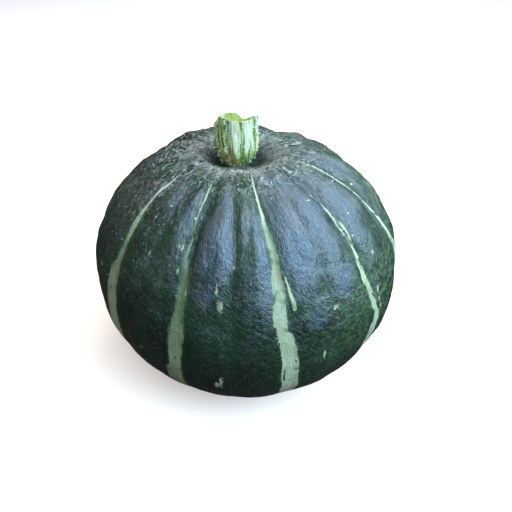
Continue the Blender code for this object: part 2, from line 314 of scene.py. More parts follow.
for fold_angle, fold_latitude, half_length, fold_half_width, depth in FOLDS:
    aside = np.radians(away_from(compass, fold_angle + FOLD_SWAY * sway)) * np.maximum(radius, 0.002)
    fold = FOLD_STRENGTH * depth * bell(aside / MM, fold_half_width)
    fold *= bell(degrees - fold_latitude, half_length)
    fold_depth = np.maximum(fold_depth, fold)
fold_depth *= soft_step(radius, SEAT_RADIUS, 0.026)
rind_points -= outward * (MM * fold_depth)[:, None]
print(len(FOLDS), "folds")

# %% Swelling of the whole form
SWELL_HEIGHT, SWELL_LENGTH = 0.0008, 0.042
swell = SWELL_HEIGHT * wander_over(rind_points, SWELL_LENGTH, 0)
rind_points += outward * (swell * soft_step(radius, SEAT_RADIUS, 3.0 * SEAT_RADIUS))[:, None]
print("highest and lowest over the equator:", rind_points[:, 2].max(), rind_points[:, 2].min())

# %% [markdown]
# ## Lumps
#
# Between furrows the rind is never smooth. It has soft dents as wide as a thumb tip, and on them lumps
# of a few millimetres, strongest on the shoulders. These are real shape too: they break up the outline.

# %% Dents and lumps
# Height and length in metres and the noise's seed, for dents, lumps and pimples.
UNEVENNESS = ((0.00110, 0.016, 11), (0.00080, 0.0085, 17), (0.00026, 0.0040, 23))
INSET = 0.0001
uneven = sum(size * wander_over(rind_points, length, seed) for size, length, seed in UNEVENNESS)
on_shoulder = 0.40 + 0.60 * bell(degrees - 50.0, 34.0)
on_shoulder *= 1.0 - 0.5 * soft_step(-degrees, 15.0, 40.0)
off_stem = soft_step(radius, SEAT_RADIUS, 2.0 * SEAT_RADIUS)
rind_points += outward * (uneven * on_shoulder * off_stem - INSET)[:, None]
print("unevenness in mm:", round(float(uneven.min() / MM), 2), "to", round(float(uneven.max() / MM), 2))

# %% [markdown]
# ## The two ends
#
# A fruit that grew lying on its side has its ends a little off the middle, so each level slides
# sideways. The blossom end is pressed flat where it stands, round a hollow with the button that the
# flower left. Last, the whole is set over the origin and clipped to the plain solid's box, so that the
# dressed fruit is never larger.

# %% Slide the ends and flatten the foot
level = rind_points[:, 2] / BASE_DROP
slide = np.where((level > 0.0)[:, None], STEM_OFFSET, BLOSSOM_OFFSET) * (level**2)[:, None]
rind_points[:, :2] += slide
rind_points[:, 2] = np.maximum(0.0, rind_points[:, 2] + EQUATOR_HEIGHT)

BLOSSOM_DEPTH, BLOSSOM_WIDTH = 0.0060, 0.0150
SCAR_RADIUS, SCAR_HEIGHT = 0.0050, 0.0012
PUCKER_DEPTH, PUCKER_RADIUS, PUCKER_HALF_WIDTH = 0.0004, 0.009, 0.004
from_blossom = np.hypot(*(rind_points[:, :2] - BLOSSOM_OFFSET).T)
underneath = latitude < 0.0
hollow = BLOSSOM_DEPTH * np.maximum(0.0, bell(from_blossom, BLOSSOM_WIDTH) - 0.2) / 0.8
button = SCAR_HEIGHT * (1.0 - soft_step(from_blossom, 0.6 * SCAR_RADIUS, SCAR_RADIUS))
puckers = PUCKER_DEPTH * np.cos(LOBES * angle) * bell(from_blossom - PUCKER_RADIUS, PUCKER_HALF_WIDTH)
foot = np.maximum(0.0, hollow - button + puckers * (hollow > 0.0))
rind_points[:, 2] += np.where(underneath, foot, 0.0)
print("blossom hollow in mm:", round(float(hollow.max() / MM), 1))

# %% Set it over the origin, inside the plain solid's box
fruit_low, fruit_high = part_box("fruit")
AXIS = np.array((-0.0054, 0.0001))
rind_points[:, :2] += AXIS
for side in (0, 1, 2):
    rind_points[:, side] = np.clip(rind_points[:, side], fruit_low[side], fruit_high[side])
rind_data.vertices.foreach_set("co", rind_points.ravel())
rind_data.update()
print("rind box", rind_points.min(axis=0), rind_points.max(axis=0))
print("solid box", fruit_low[:], fruit_high[:])

# %% [markdown]
# ## Where the stripes run
#
# Each stripe is a river: a thread by the stem, wider over the belly, with steps in its banks. It is
# given by stations, each a latitude and the compass angles of its left and right bank. Some stripes have
# a thread or a sliver beside them, which is one more short river. The finish needs to know, at every
# point of the rind, how far the nearest stripe's middle is and how wide that stripe is there, so both
# are worked out per point and stored on the mesh as attributes, which shader nodes can read.

# %% Stripe stations
STRIPES = (
    ((50, 21.4, 21.5), (42, 20.8, 22.2), (30, 20.5, 23.5), (8, 20, 26), (-40, 21, 27), (-75, 22, 26)),
    ((58, 60, 60.3), (45, 59.5, 61), (28, 59, 62.5), (26, 58, 62.5), (-5, 57, 63), (-75, 58, 61)),
    ((62, 97.8, 98), (52, 97.5, 98.8), (30, 97, 99.2), (12, 96.5, 101), (-40, 95, 101), (-75, 96, 100)),
    (
        (64, 136.5, 136.8), (50, 136, 137.6), (20, 135, 139), (18, 134, 139), (-40, 134, 140),
        (-75, 135, 139),
    ),
    (
        (40, 174.8, 175), (36, 174.4, 175.6), (32, 174, 176), (25, 174.5, 178), (-30, 173, 179),
        (-75, 174, 178),
    ),
    (
        (66, 212.6, 213), (60, 212.6, 213.6), (50, 213, 214.2), (40, 213.9, 215.7), (30, 215.4, 217.4),
        (25, 215.5, 218.3), (21.5, 215, 219), (20, 213.4, 219.6), (10, 212.8, 219.5), (0, 212, 218.4),
        (-6, 211.5, 217.3), (-40, 211, 217.5), (-75, 212, 216),
    ),
    (
        (68, 248.2, 248.4), (60, 248.1, 249.1), (50, 247.9, 248.7), (44, 248.9, 249.1),
        (42, 248.9, 249.8), (36, 248.2, 249.2), (33, 248.3, 250.2), (30, 248.8, 251.3), (22, 249.1, 252),
        (15, 248.4, 251.9), (10, 247, 252), (4, 246.5, 252), (0, 246, 251.3), (-4, 245.4, 250.7),
        (-5, 245.4, 249.8), (-11, 244.8, 249.6), (-12, 243.4, 249.5), (-20, 242, 248.8),
        (-40, 241, 247.5), (-75, 242, 246),
    ),
    (
        (75, 284, 284.4), (70, 282.4, 284), (64, 281.3, 282.9), (60, 281.5, 283), (50, 281.3, 283.8),
        (44, 281.9, 285.1), (38, 282.3, 285.5), (32, 282.3, 285.5), (31, 281.4, 285.5),
        (25, 281.6, 285.6), (24, 282.4, 285.6), (22, 282.3, 285.7), (21, 281, 285.8), (12, 280.9, 285.7),
        (11, 281.9, 285.4), (9, 281.9, 285.4), (8, 282, 286.8), (5, 282.3, 287.4), (0, 283.1, 288.4),
        (-6, 283.9, 289.5), (-12, 283.6, 289.6), (-20, 284.5, 290.5), (-40, 285, 291), (-75, 285.5, 290),
    ),
    (
        (72, 313.9, 314), (60, 314.3, 314.4), (52, 315.2, 315.6), (47, 315.9, 316.9), (42, 315.9, 316.5),
        (37, 316.3, 316.5), (33, 316.7, 317.2), (30, 316.7, 317.5), (24, 316.4, 317.6),
        (20, 316.6, 317.8), (17, 317, 318.6), (13, 317.2, 319), (11, 317.3, 319.6), (5, 318.4, 320.5),
        (2, 319.5, 321), (0, 320.4, 322.6), (-3, 320.6, 323.2), (-6, 319.4, 323.2), (-12, 318.4, 322.8),
        (-40, 317.5, 322.5), (-75, 317, 321),
    ),
    ((45, 317.3, 317.3), (41, 317.5, 318.2), (36, 317.4, 318), (31, 317.6, 317.6)),
    ((28, 315.2, 315.2), (25, 314.9, 315.8), (20, 314.9, 315.9), (16, 316, 316)),
    ((31, 286.5, 286.7), (27, 286.7, 287.5), (23, 287.1, 288.2), (20, 287.2, 288.8), (18, 287.7, 288.6)),
    (
        (73, 338.5, 338.7), (65, 339.6, 340.2), (60, 340.9, 341.6), (55, 342.3, 343), (50, 342.6, 343.2),
        (40, 342.9, 343.3), (35, 343, 343.8), (33, 343.5, 344.2), (29, 344, 345), (25, 344.2, 345.6),
        (20, 344.4, 346), (12, 345.2, 347.8), (0, 345, 350), (-40, 345, 351), (-75, 346, 350),
    ),
)

# One value per stripe: 0 is dull green and 1 fresh mint, and then how broken up it is.
PALENESS = (0.6, 0.6, 0.7, 0.6, 0.0, 0.5, 0.1, 0.85, 1.0, 0.9, 0.8, 0.9, 1.3)
GAPPINESS = (0.3, 0.3, 0.2, 0.3, 0.5, 0.0, 0.1, 0.0, 0.5, 0.3, 0.5, 0.0, 0.1)
print(len(STRIPES), "stripes from", sum(len(stations) for stations in STRIPES), "stations")

# %% Distance to the nearest stripe, at every point
FAR_OFF = 1.0
ground_radius = np.maximum(radius * reach, 0.002)
across = np.full(len(radius), FAR_OFF)
half_width = np.zeros(len(radius))
stripe_number = np.zeros(len(radius))
for number, stations in enumerate(STRIPES):
    lats, lefts, rights = (np.array(row, float) for row in zip(*sorted(stations)))
    left, right = np.interp(degrees, lats, lefts), np.interp(degrees, lats, rights)
    gap = np.radians(away_from(compass, 0.5 * (left + right))) * ground_radius
    half = 0.5 * np.radians(right - left) * ground_radius
    past_end = np.maximum(degrees - lats[-1], lats[0] - degrees)
    gap = np.where(past_end > 0.0, np.hypot(gap, np.radians(past_end) * RADIUS), gap)
    nearer = np.abs(gap) - half < np.abs(across) - half_width
    across = np.where(nearer, gap, across)
    half_width = np.where(nearer, half, half_width)
    stripe_number = np.where(nearer, number, stripe_number)
along = RADIUS * (math.pi / 2 - latitude)
stripe_here = stripe_number.astype(int)
paleness, gappiness = np.array(PALENESS)[stripe_here], np.array(GAPPINESS)[stripe_here]
print("share of the rind on a stripe:", round(float((np.abs(across) < half_width).mean()), 3))

# %% [markdown]
# ## Flecks, specks and the waxy bloom
#
# Kabocha stripes shed islands: slivers of the same pale green that lie beside them, and a few stray
# flecks out on the lobes. The largest white specks are placed in the same way. The bloom is a bluish wax
# that lies on the backs of the lobes and is rubbed off elsewhere; its bluish haze is partly painted sheen,
# laid mostly where the lights' reflection falls. Each of these is an oval in the mesh's own directions,
# stored as a soft hill, which the finish later cuts off at a ragged level.

# %% Ovals: compass angle and latitude in degrees, half length and half width in mm
FLECKS = (
    (246.5, 39, 2, 0.8), (247, 30, 2.3, 0.6), (321.9, 10.5, 2.4, 0.9), (322.6, 6, 3, 1),
    (323.2, 1.6, 2.4, 0.7), (267.9, 35, 2, 0.7), (264, 21, 3.4, 1.4), (263, 26.5, 3.4, 0.8),
    (263.9, -15, 6, 0.9), (262.6, -17.5, 3.4, 1.4), (297.7, -4.6, 3, 0.7), (302, 15, 1.9, 1.6),
    (324.3, 26.5, 1.4, 1.4), (205, 13.2, 1.6, 1.8), (231.8, -9.5, 1.8, 0.6), (210, 41, 1.3, 0.7),
    (75, 8, 4, 1.4), (79, 12, 2, 0.8), (118, 24, 4.4, 1), (155, -4, 3.2, 1.6), (40, -12, 3.5, 1),
    (5, 12, 3.6, 0.9), (109, -20, 3, 1.2),
)
SPECKS = (
    (231.3, 50.8, 0.55, 0.95), (174.5, 57.5, 0.6, 1.4), (172, 54, 0.5, 1.2), (176.5, 52, 0.4, 1),
    (319.2, 36, 0.7, 0.5), (340.7, 54, 0.5, 0.8), (345.8, 47.5, 0.8, 0.5), (309.6, 54.5, 0.35, 1.6),
    (247.4, 50, 0.8, 0.4), (202.6, 40, 0.5, 0.6), (168, 48, 0.5, 1.2), (158, 60, 0.6, 1.3),
    (354, 61, 0.35, 1.8), (289.6, 58.6, 0.4, 0.4), (322.8, 43.2, 0.5, 0.5), (226, 45, 0.4, 0.5),
    (214, 30, 0.4, 0.4), (95, 44, 0.6, 0.7), (62, 22, 0.5, 0.5), (130, 52, 0.7, 0.6),
)
# Partly wax, partly painted sheen: these ovals lie mostly where the lights' reflection falls.
WAXY_AND_SHEEN = (
    (264.5, 42, 20, 4), (279.5, 38, 22, 2.5), (293, 42, 24, 8), (262.5, 60, 9, 4), (305, 50, 24, 6),
    (325, 48, 22, 6), (243, 50, 14, 2.5), (257.5, 39, 14, 3.5), (290, 56, 8, 4), (302, 61, 10, 5),
    (296, 66, 8, 5), (226, 56, 8, 5), (275, 79, 7, 8), (90, 45, 20, 7), (50, 40, 18, 6), (150, 30, 18, 6),
    (349, 61, 10, 6), (356, 50, 8, 6), (259.5, 24, 6, 3), (258.5, 42, 14, 4.5), (295.5, 12.5, 7, 4),
    (306, 24, 9, 5), (278, 81, 8, 8), (273.2, 50, 8, 2), (313, 58, 14, 3),
)
BARE = (
    (274, 66, 8, 3), (271, 73, 6, 6), (254.5, 61, 9, 2.6), (239, 62, 8, 3), (230, 66, 5, 3.5),
    (20, 72, 6, 4), (269.9, 48, 14, 1.4), (268.8, 62.5, 8, 3.4), (252, -4, 16, 6), (12, 45, 24, 6),
    (251.5, 45, 14, 1.6), (275.8, 44, 8, 1.2), (239.5, 42, 10, 3), (200, 60, 12, 3), (185, 66, 10, 3),
    (268.5, 10.5, 11, 6), (299.5, 25, 5, 4), (70, 60, 12, 4), (120, 40, 18, 5), (100, 62, 12, 4),
    (30, 20, 18, 6), (289, 18, 5, 3), (267.5, 26, 6, 3.5), (260, 15, 5, 4), (222, 50, 8, 4),
    (220, 31, 9, 4), (331, 30, 10, 3), (337, 37, 8, 4), (226, 34, 9, 4),
)

# %% Turn ovals into soft hills
BETWEEN_HILLS = -2.0


def hills(spots):
    """Soft hills, 1 on each oval's middle and 0.5 at its rim.

    Each is moved to the nearest point of the mesh, so that an oval smaller than a face still shows.
    """
    hill = np.full(len(radius), BETWEEN_HILLS)
    for spot_angle, spot_latitude, half_length, half_width_of_it in spots:
        sideways = np.radians(away_from(compass, spot_angle)) * ground_radius
        lengthways = np.radians(degrees - spot_latitude) * RADIUS
        nearest = np.argmin(np.hypot(sideways, lengthways))
        sideways, lengthways = sideways - sideways[nearest], lengthways - lengthways[nearest]
        spread = np.hypot(sideways / (half_width_of_it * MM), lengthways / (half_length * MM))
        hill = np.maximum(hill, 1.0 - 0.5 * spread)
    return hill


fleck_hill, speck_hill = hills(FLECKS), hills(SPECKS)
# The bloom field carries painted sheen as well as the wax.
bloom_and_sheen = np.maximum(hills(WAXY_AND_SHEEN), 0.0) - np.maximum(hills(BARE), 0.0)
print(len(FLECKS), "flecks,", len(SPECKS), "large specks")

# %% [markdown]
# ## Zones of wear
#
# The shoulder on one side is dusty and brownish where it lay against the vine, and some dust lies in a
# ring round the crown. A strong patch in the dust's colour on the left outline is painted rim light. Small
# tan and brighter green zones break up the dark rind. Round the lip of the stem's hollow runs a thin corky
# ring, and the blossom button underneath is cork too.

# %% Dust, cork ring and scar
# Soft patches: strength, compass angle and its half width, latitude and its half width.
# Of the dust patches, the third row lies on the left outline and is painted rim light, not dust.
DUST_AND_RIM_LIGHT = ((1, 172, 64, 68, 24), (0.5, 346, 24, 62, 9), (2.2, 140, 22, 62, 9))
TANNED = ((1, 297.5, 2.6, 49, 3.4), (0.5, 208, 9, 50, 6))
GREENER = ((1, 325, 30, 8, 20), (1, 2, 16, 36, 18))
SCUFFED = ((1, 205, 42, 46, 24),)
DUST_RING_RADIUS, CORK_RING_RADIUS, CORK_RING_SHIFT = 0.034, 0.0235, 0.0016


def patches(rows):
    """The strongest of several soft patches, at every point."""
    return np.maximum.reduce([
        strength * bell(away_from(compass, centre), half_turn) * bell(degrees - up, half_up)
        for strength, centre, half_turn, up, half_up in rows
    ])


from_stem = np.hypot(*(rind_points[:, :2] - AXIS - STEM_OFFSET).T)
dusty_ring = 0.40 * bell(from_stem - DUST_RING_RADIUS, 0.014) * (latitude > 0.0)
dusty_ring *= 1.0 - 0.7 * bell(away_from(compass, 272.0), 34.0)
dust_and_rim_light = np.maximum(patches(DUST_AND_RIM_LIGHT), dusty_ring)
ring_radius = CORK_RING_RADIUS + CORK_RING_SHIFT * np.cos(angle - math.radians(290.0))
cork_ring = bell(from_stem - ring_radius - 0.003 * sway, 0.0055) * (latitude > 0.0)
scar = np.where(underneath, 1.0 - soft_step(from_blossom, 0.8 * SCAR_RADIUS, 1.2 * SCAR_RADIUS), 0.0)
print("share of the rind under dust:", round(float((dust_and_rim_light > 0.5).mean()), 3))


# %% Store the fields on the mesh
def store_field(mesh, name, columns):
    """Keeps one to three numbers per point under a name that the finish can read."""
    data_type, key = ("FLOAT_VECTOR", "vector") if isinstance(columns, tuple) else ("FLOAT", "value")
    values = np.column_stack(columns) if isinstance(columns, tuple) else columns
    field = mesh.attributes.new(name, data_type, "POINT")
    field.data.foreach_set(key, np.ascontiguousarray(values, dtype=np.float32).ravel())


SEED_STEP = 17.0
moat_sides = 1.0 - bell(away_from(compass, 277.0), 38.0)
grain_place = (RADIUS * np.cos(angle) / MM, RADIUS * np.sin(angle) / MM, along / MM)
store_field(rind_data, "stripe_place", (across / MM, along / MM, SEED_STEP * stripe_number))
store_field(rind_data, "stripe_edge", (np.abs(across) / MM, half_width / MM, fleck_hill))
store_field(rind_data, "stripe_kind", (paleness, gappiness, speck_hill))
store_field(rind_data, "wear", (dust_and_rim_light, cork_ring, scar))
store_field(rind_data, "grain_place", grain_place)
store_field(rind_data, "round_stem", (from_stem / MM, moat_sides, bloom_and_sheen))
store_field(rind_data, "zones", (patches(TANNED), patches(GREENER), fold_depth))
store_field(rind_data, "scuffs", np.maximum(dust_and_rim_light, patches(SCUFFED)))
print("fields on the rind:", [field.name for field in rind_data.attributes if field.name[0] != "."])

# %% [markdown]
# ## Writing a finish in nodes
#
# A finish is a small network of shader nodes. Placing nodes one by one makes long code, so a helper
# class holds the network and adds a node, a sum, a soft step, a noise or a mix in one short call. Every
# cloud of noise runs from 0 to 1, and its numbers are scale, detail, roughness and distortion.


# %% A finish and its short calls
def tint(red, green, blue):
    return (red, green, blue, 1.0)


class Finish:
    """A material and its node network. Its colour is built up coat by coat."""

    def __init__(self, name):
        self.material = bpy.data.materials.new(name)
        self.material.use_nodes = True
        self.tree = self.material.node_tree
        self.skin = self.tree.nodes["Principled BSDF"]
        self.colour = None

    def connect(self, socket, value):
        if isinstance(value, bpy.types.NodeSocket):
            self.tree.links.new(value, socket)
        else:
            socket.default_value = value

    def add(self, kind, inputs, output=0, **settings):
        node = self.tree.nodes.new(kind)
        for name, value in settings.items():
            setattr(node, name, value)
        for name, value in inputs.items():
            self.connect(node.inputs[name], value)
        return node.outputs[output]

    def sum(self, operation, *values):
        return self.add("ShaderNodeMath", dict(enumerate(values)), operation=operation)

    def times(self, first, second):
        return self.sum("MULTIPLY", first, second)

    def times_plus(self, first, second, third):
        return self.sum("MULTIPLY_ADD", first, second, third)

    def larger(self, first, second):
        return self.sum("MAXIMUM", first, second)

    def centred(self, noise_value):
        return self.sum("SUBTRACT", noise_value, 0.5)

    def field(self, name):
        return self.add("ShaderNodeAttribute", {}, "Vector", attribute_name=name)

    def parts(self, vector):
        split = self.tree.nodes.new("ShaderNodeSeparateXYZ")
        self.tree.links.new(vector, split.inputs[0])
        return tuple(split.outputs)

    def place(self, x, y, z):
        return self.add("ShaderNodeCombineXYZ", {0: x, 1: y, 2: z})

    def stretch(self, vector, factors):
        return self.add("ShaderNodeVectorMath", {0: vector, 1: factors}, operation="MULTIPLY")

    def cloud(self, vector, scale, detail=2.0, roughness=0.5, distortion=0.0):
        inputs = {"Vector": vector, "Scale": scale, "Detail": detail}
        inputs.update({"Roughness": roughness, "Distortion": distortion})
        return self.add("ShaderNodeTexNoise", inputs, 0)

    def fade(self, value, low, high, start=0.0, end=1.0):
        inputs = {"Value": value, "From Min": low, "From Max": high, "To Min": start, "To Max": end}
        return self.add("ShaderNodeMapRange", inputs, interpolation_type="SMOOTHSTEP")

    def blend(self, share, first, second):
        return self.add("ShaderNodeMix", {0: share, 6: first, 7: second}, 2, data_type="RGBA")

    def coat(self, share, colour):
        """Lays a colour, or another socket's colour, over what is there already."""
        over = colour if isinstance(colour, bpy.types.NodeSocket) else tint(*colour)
        self.colour = self.blend(share, self.colour, over)

    def bump(self, height, distance):
        return self.add("ShaderNodeBump", {"Height": height, "Distance": distance, "Strength": 1.0})

    def set(self, name, value):
        self.connect(self.skin.inputs[name], value)


print("finishes can now be written")


# %% [markdown]
# ## The rind's finish: stripes with ragged edges
#
# A pale stripe on a kabocha isn't painted with a brush. It is made of thin strands that lie side by side
# along the fruit, and each strand starts and stops where it likes, so the edge goes in steps. The finish
# copies that: it snaps the distance across to strands under a millimetre wide, gives every strand its
# own noise along its length, and lets that noise push the edge in or out.
#
# A thread is thinner than the faces of the mesh. The distance with its sign passes through zero between
# two points on either side of the thread, so the thread stays whole. Half way to the next stripe it
# passes through zero as well, and there the plain distance, which stays large, keeps a false one away.

# %% Read the fields
rind = Finish("rind_finish")
across_mm, along_mm, stripe_seed = rind.parts(rind.field("stripe_place"))
plain_off_mm, half_mm, fleck = rind.parts(rind.field("stripe_edge"))
paleness_here, gaps_here, white_hill = rind.parts(rind.field("stripe_kind"))
dust_and_rim_light_zone, cork_zone, scar_zone = rind.parts(rind.field("wear"))
from_stem_mm, moat_here, waxy_and_sheen_here = rind.parts(rind.field("round_stem"))
tan_here, green_here, fold_here = rind.parts(rind.field("zones"))
scuff_here = rind.add("ShaderNodeAttribute", {}, "Fac", attribute_name="scuffs")
grain = rind.field("grain_place")
skin_place = rind.stretch(rind.add("ShaderNodeTexCoord", {}, "Object"), (1 / MM, 1 / MM, 1 / MM))
print("the rind's finish reads its fields in mm")

# %% Strands and ragged banks
STRAND_MM, TRUSTED_TO_MM = 0.85, 0.5
plain_off_mm = rind.sum("SUBTRACT", plain_off_mm, TRUSTED_TO_MM)
off_mm = rind.larger(rind.sum("ABSOLUTE", across_mm), plain_off_mm)
wobble = rind.centred(rind.cloud(grain, 0.42, 2, 0.6))
strand = rind.sum("SNAP", rind.times_plus(wobble, 1, across_mm), STRAND_MM)
strand_place = rind.place(rind.times(strand, 2.7), rind.times(along_mm, 0.07), stripe_seed)
strand_noise = rind.centred(rind.cloud(strand_place, 1, 2, 0.55))
push = rind.times(strand_noise, rind.times_plus(half_mm, 0.45, 0.6))
bank = rind.sum("ADD", rind.sum("SUBTRACT", half_mm, off_mm), push)
tooth = rind.centred(rind.cloud(skin_place, 0.75, 2, 0.6))
bank = rind.times_plus(tooth, rind.fade(half_mm, 0.3, 2.5, 0.7, 2.4), bank)
stripe = rind.times(rind.fade(bank, -0.06, 0.1), rind.fade(half_mm, 0.02, 0.14))
break_noise = rind.cloud(rind.stretch(strand_place, (1, 0.7, 1)), 1.7, 2, 0.5)
broken = rind.fade(rind.times_plus(gaps_here, 0.17, break_noise), 0.71, 0.74)
stripe = rind.times(stripe, rind.sum("SUBTRACT", 1, broken))
print("strands", STRAND_MM, "mm wide")

# %% Islands and flecks
island_place = rind.place(rind.times_plus(strand, 1.9, 31), rind.times(along_mm, 0.1), stripe_seed)
by_stripe = rind.fade(rind.sum("SUBTRACT", off_mm, half_mm), 3.8, 1)
by_stripe = rind.times(by_stripe, rind.fade(half_mm, 0.6, 2.2))
island = rind.times(rind.fade(rind.cloud(island_place, 1, 1.5), 0.72, 0.76), by_stripe)
ragged_fleck = rind.times_plus(strand_noise, 0.8, fleck)
fleck_grain = rind.centred(rind.cloud(skin_place, 0.95, 3, 0.7))
ragged_fleck = rind.fade(rind.times_plus(fleck_grain, 1.8, ragged_fleck), 0.46, 0.6)
pale_share = rind.larger(rind.larger(stripe, island), ragged_fleck)
print("pale skin takes", len(rind.tree.nodes), "nodes")

# %% [markdown]
# ## The dark skin
#
# The dark green isn't even: it drifts between near black and bottle green over a few centimetres and is
# peppered with fine lighter flecks. Where the wax is rubbed off it is a plain dark green. Where the wax
# lies thick it is painted a hazy blue, partly a waxy bloom and partly painted sheen where the lights'
# reflection falls. Some zones are mottled a brighter green. Fold floors get painted shade, the darkest
# colour.

# %% Dark skin, wax and folds
drift = rind.fade(rind.cloud(grain, 0.034, 3), 0.36, 0.64)
rind.colour = rind.blend(drift, tint(0.006, 0.013, 0.0075), tint(0.012, 0.028, 0.013))
film_noise = rind.cloud(rind.stretch(grain, (1, 1, 0.5)), 0.1, 5, 0.7)
film = rind.fade(rind.times_plus(waxy_and_sheen_here, 0.2, film_noise), 0.44, 0.58)
patch_edge = rind.times_plus(rind.centred(film_noise), 2.5, waxy_and_sheen_here)
bare = rind.fade(rind.times_plus(tooth, 2.4, patch_edge), 0.1, -0.9)
pepper_share = rind.fade(rind.cloud(skin_place, 0.55, 3, 0.65), 0.52, 0.62, 0, 0.75)
rind.coat(pepper_share, (0.034, 0.05, 0.028))
rind.coat(rind.times(bare, 0.5), (0.012, 0.026, 0.01))
mottle = rind.fade(rind.cloud(skin_place, 0.28, 4, 0.65), 0.42, 0.62)
rind.coat(rind.times(rind.times(mottle, green_here), 0.8), (0.066, 0.116, 0.036))
# Painted sheen, partly a real waxy bloom: a bluish haze where the wax ovals lie.
painted_sheen_haze = rind.fade(waxy_and_sheen_here, 0.1, 0.9, 0, 0.7)
rind.coat(painted_sheen_haze, (0.032, 0.05, 0.062))
# Painted shade: the floors of the folds are painted darkest.
fold_painted_shade = rind.fade(rind.times_plus(tooth, 1.2, fold_here), 0.2, 0.9, 0, 0.35)
rind.coat(fold_painted_shade, (0.006, 0.014, 0.005))
print("dark skin done:", len(rind.tree.nodes), "nodes")

# %% [markdown]
# ## The pale skin
#
# The stripes are a dusty mint with greener streaks and patches. They are duller towards the middle of
# their length, and threads are brighter than broad stripes. Towards the blossom end they are painted
# paler and brighter: painted light that makes up for the light falling off towards the bottom. A thin
# band of mid green lies along their banks, where the pale skin shows through the dark.

# %% Stripes, flecks and their banks
streak_place = rind.place(rind.times(across_mm, 1.9), rind.times(along_mm, 0.13), stripe_seed)
streak = rind.fade(rind.cloud(streak_place, 1, 3, 0.6), 0.34, 0.66)
fresh = rind.blend(streak, tint(0.225, 0.25, 0.135), tint(0.34, 0.35, 0.205))
dull = rind.blend(streak, tint(0.05, 0.074, 0.021), tint(0.088, 0.112, 0.04))
paleness_here = rind.sum("ADD", paleness_here, rind.fade(along_mm, 68, 48, 0, 0.5))
# Painted light: lower down the stripes are painted paler, for the light that falls off towards the bottom.
paleness_here = rind.sum("ADD", paleness_here, rind.fade(along_mm, 100, 150, 0, 0.5))
pale_skin = rind.blend(rind.larger(paleness_here, ragged_fleck), dull, fresh)
brightness = rind.times_plus(rind.fade(half_mm, 1.6, 0.4, 0, 0.9), stripe, 1)
# Painted light: the stripes are painted brighter low down and dimmer higher up.
brightness = rind.times(rind.fade(along_mm, 90, 165, 0.76, 1.3), brightness)
pale_skin = rind.stretch(pale_skin, rind.place(brightness, brightness, brightness))
patch_share = rind.times(rind.fade(rind.cloud(grain, 0.17, 3, 0.6), 0.56, 0.68), 0.6)
pale_skin = rind.blend(patch_share, pale_skin, tint(0.06, 0.11, 0.034))
bank_share = rind.times(rind.fade(bank, -1.3, 0), 0.65)
bank_share = rind.times(bank_share, rind.fade(half_mm, 0.4, 1.6))
rind.coat(bank_share, (0.04, 0.092, 0.036))
rind.coat(pale_share, pale_skin)
print("pale skin done:", len(rind.tree.nodes), "nodes")

# %% [markdown]
# ## Dust, moat, fibres and cork
#
# Brown dust clings in patches, less where the skin is bare; one strong patch in the dust's colour on the
# left outline is painted rim light. The moat round the stem is painted nearly black at its sides and back,
# which is painted shade, and its wall in front of the stem's foot is painted pale grey, which is painted
# light. Over the crown runs a net of dry fibres: thin winding lines appear where a cloud of noise passes
# through its middle value. The lip of the hollow is netted with cork in the same way, with a buff line
# along its front.


# %% Dust and moat
def thin_lines(vector, scale, roughness, distortion, rim, core):
    """Thin winding lines along the middle value of a noise."""
    off_middle = rind.centred(rind.cloud(vector, scale, 3, roughness, distortion))
    return rind.fade(rind.sum("ABSOLUTE", off_middle), rim, core)


dust_noise = rind.cloud(rind.stretch(skin_place, (1, 1, 0.6)), 0.46, 4, 0.72)
# Real dust, and painted rim light on the left outline in the dust's colour.
dust_and_rim_light_share = rind.times(dust_and_rim_light_zone, rind.fade(dust_noise, 0.53, 0.61))
dust_and_rim_light_share = rind.times(dust_and_rim_light_share, rind.fade(bare, 0, 1, 0.9, 0.4))
rind.coat(dust_and_rim_light_share, (0.36, 0.3, 0.215))
tan_noise = rind.cloud(skin_place, 0.9, 3, 0.7)
tan_share = rind.times(tan_here, rind.fade(tan_noise, 0.46, 0.6, 0, 0.7))
rind.coat(tan_share, (0.17, 0.1, 0.065))
# Painted shade: the moat's sides and back are painted nearly black.
moat_painted_shade = rind.times(rind.fade(from_stem_mm, 26, 17), moat_here)
rind.coat(moat_painted_shade, (0.006, 0.01, 0.006))
# Painted light: the moat's wall in front of the stem's foot is painted pale grey.
front_wall_painted_light = rind.fade(moat_here, 0.6, 0.1, 0, 0.8)
rind.coat(rind.times(rind.fade(from_stem_mm, 15, 11), front_wall_painted_light), (0.11, 0.13, 0.135))
print("dust and moat done:", len(rind.tree.nodes), "nodes")

# %% Fibres and cork
fibre_zone = rind.times(rind.fade(from_stem_mm, 11, 22), rind.fade(from_stem_mm, 52, 28))
fibre_patch = rind.fade(rind.cloud(skin_place, 0.1, 2), 0.4, 0.58, 0.2, 0.95)
fibre_share = rind.times(thin_lines(grain, 0.11, 0.62, 0.9, 0.034, 0.01), fibre_patch)
fibre_share = rind.times(fibre_share, fibre_zone)
rind.coat(fibre_share, (0.4, 0.4, 0.32))
net_line = thin_lines(rind.stretch(grain, (1, 1, 0.55)), 0.16, 0.6, 0.8, 0.032, 0.008)
cork_noise = rind.fade(rind.cloud(skin_place, 0.7, 4, 0.7), 0.44, 0.6)
cork_share = rind.times(rind.larger(net_line, rind.times(cork_noise, 0.5)), cork_zone)
rind.coat(cork_share, (0.33, 0.3, 0.225))
crest = rind.fade(rind.times_plus(tooth, 0.28, cork_zone), 0.94, 1.00)
crest = rind.times(crest, rind.fade(moat_here, 0.9, 0.3))
crest_patch = rind.fade(rind.cloud(skin_place, 0.2, 3), 0.42, 0.56, 0.1, 0.75)
rind.coat(rind.times(crest, crest_patch), (0.4, 0.345, 0.25))
rind.coat(scar_zone, (0.27, 0.215, 0.13))
print("fibres and cork done:", len(rind.tree.nodes), "nodes")

